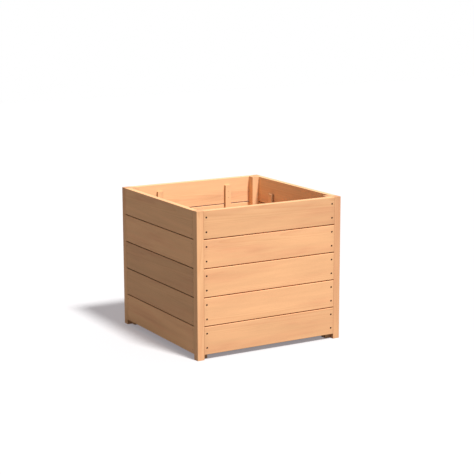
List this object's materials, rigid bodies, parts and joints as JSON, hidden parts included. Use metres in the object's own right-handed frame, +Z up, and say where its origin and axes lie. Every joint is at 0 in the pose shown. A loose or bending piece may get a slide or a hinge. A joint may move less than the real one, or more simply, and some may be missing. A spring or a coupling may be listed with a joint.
{
  "type": "raised garden bed",
  "caption": "Square timber raised garden bed: rebated corner posts, horizontal wall boards, upright inner battens and a slatted floor held clear of the ground.",
  "frame": {"origin": "centre of the footprint, on the ground under the feet", "axes": "+X along the front wall, to the right when it is seen from outside; +Y from the front wall to the back wall; +Z up"},
  "size_m": [0.864, 0.864, 0.772],
  "materials": {
    "board_timber": "planed clear softwood, orange-pink, satin oil",
    "post_timber": "planed, slightly pinker than the boards, satin oil",
    "batten_timber": "planed, untreated",
    "floor_timber": "planed, untreated",
    "screw_steel": "dark brown corrosion coating",
    "nail_steel": "dull galvanised"
  },
  "bodies": {
    "root": {"post_front_left": "post_timber", "post_front_right": "post_timber", "post_back_right": "post_timber", "post_back_left": "post_timber", "front_board_1": "board_timber", "front_board_2": "board_timber", "front_board_3": "board_timber", "front_board_4": "board_timber", "front_board_5": "board_timber", "front_batten_left": "batten_timber", "front_batten_right": "batten_timber", "right_board_1": "board_timber", "right_board_2": "board_timber", "right_board_3": "board_timber", "right_board_4": "board_timber", "right_board_5": "board_timber", "right_batten_left": "batten_timber", "right_batten_right": "batten_timber", "back_board_1": "board_timber", "back_board_2": "board_timber", "back_board_3": "board_timber", "back_board_4": "board_timber", "back_board_5": "board_timber", "back_batten_left": "batten_timber", "back_batten_right": "batten_timber", "left_board_1": "board_timber", "left_board_2": "board_timber", "left_board_3": "board_timber", "left_board_4": "board_timber", "left_board_5": "board_timber", "left_batten_left": "batten_timber", "left_batten_right": "batten_timber", "floor_bearer_front": "floor_timber", "floor_bearer_back": "floor_timber", "floor_slat_1": "floor_timber", "floor_slat_2": "floor_timber", "floor_slat_3": "floor_timber", "floor_slat_4": "floor_timber", "floor_slat_5": "floor_timber", "floor_slat_6": "floor_timber", "floor_slat_7": "floor_timber", "floor_slat_8": "floor_timber", "front_wall_screws": "screw_steel", "back_wall_screws": "screw_steel", "bearer_screws": "screw_steel", "floor_screws": "screw_steel", "right_wall_nails": "nail_steel", "left_wall_nails": "nail_steel", "batten_nails": "nail_steel"}
  },
  "joints": []
}
